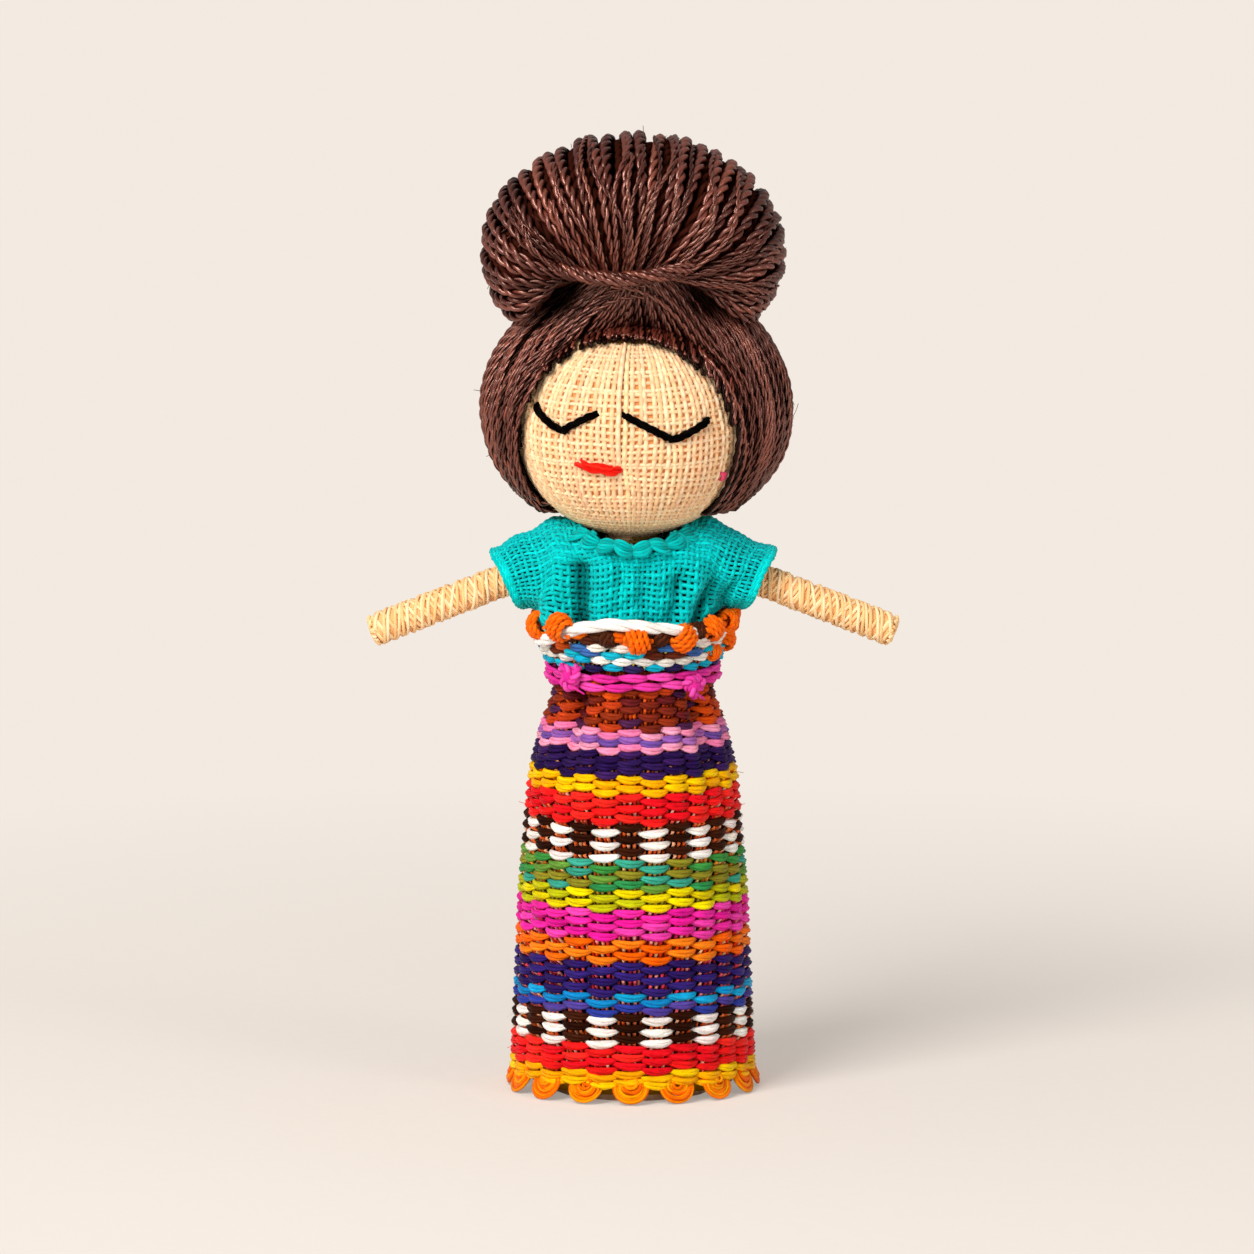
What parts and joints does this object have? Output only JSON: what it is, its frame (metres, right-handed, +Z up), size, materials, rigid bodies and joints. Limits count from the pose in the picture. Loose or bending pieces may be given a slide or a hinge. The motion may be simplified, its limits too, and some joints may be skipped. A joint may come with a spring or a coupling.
{
  "type": "worry doll",
  "caption": "Small standing cloth doll with a woven skirt, tied sash, short-sleeved blouse, thread-wound bendable arms, turning gauze head and a looped cord bun.",
  "frame": {"origin": "middle of the flat lower end of the rolled core, on the surface that the doll stands on", "axes": "+Z up along the stick, -Y towards the viewer that the hair and skirt front face, +X the doll's own left"},
  "size_m": [0.0522, 0.027, 0.0966],
  "materials": {
    "stick_wood": "bare turned stick",
    "rolled_card": "rolled grey-brown card",
    "wadding": "cotton wadding",
    "skirt_weave": "striped hand-woven cotton with long weft floats",
    "orange_cord": "twisted cotton thread",
    "pink_cord": "twisted cotton thread",
    "sash_weave": "striped woven band",
    "white_cotton": "thick twisted cotton cord",
    "wire_steel": "soft annealed wire",
    "blouse_cotton": "open plain weave",
    "arm_thread": "fine thread wound crosswise",
    "head_gauze": "cream gauze drawn tight",
    "black_thread": "stitched thread",
    "red_thread": "satin stitch",
    "hair_cord": "glossy twisted rayon cord"
  },
  "bodies": {
    "trunk": {"spine_stick": "stick_wood", "core_roll": "rolled_card", "skirt_padding": "wadding", "skirt_cloth": "skirt_weave", "hem_loop_cord": "orange_cord", "waist_tie": "pink_cord", "right_tie_knot": "pink_cord", "left_tie_knot": "pink_cord", "waist_sash": "sash_weave", "sash_loop_cord": "orange_cord", "white_cord": "white_cotton", "torso_padding": "wadding", "shoulder_wire": "wire_steel", "blouse": "blouse_cotton"},
    "head": {"head_cloth": "head_gauze", "head_stuffing": "wadding", "neck_thread": "head_gauze", "right_eye_stitch": "black_thread", "left_eye_stitch": "black_thread", "mouth_stitch": "red_thread", "ear_stitch": "pink_cord", "hair_cap": "hair_cord", "bun_padding": "hair_cord", "bun_hank": "hair_cord", "bun_tie": "hair_cord"},
    "left_arm": {"left_arm_core": "rolled_card", "left_arm_winding": "arm_thread"},
    "right_arm": {"right_arm_core": "rolled_card", "right_arm_winding": "arm_thread"}
  },
  "joints": [
    {"name": "head_turn", "type": "hinge", "parent": "trunk", "child": "head", "pos_m": [0, 0, 0.0562], "axis": [0, 0, 1], "range_deg": [-35, 35]},
    {"name": "left_arm_bend", "type": "hinge", "parent": "trunk", "child": "left_arm", "pos_m": [0.008, 0, 0.05335], "axis": [0, -1, 0], "range_deg": [-25, 55], "deforming": ["blouse"]},
    {"name": "right_arm_bend", "type": "hinge", "parent": "trunk", "child": "right_arm", "pos_m": [-0.008, 0, 0.05335], "axis": [0, 1, 0], "range_deg": [-25, 55], "deforming": ["blouse"]}
  ]
}
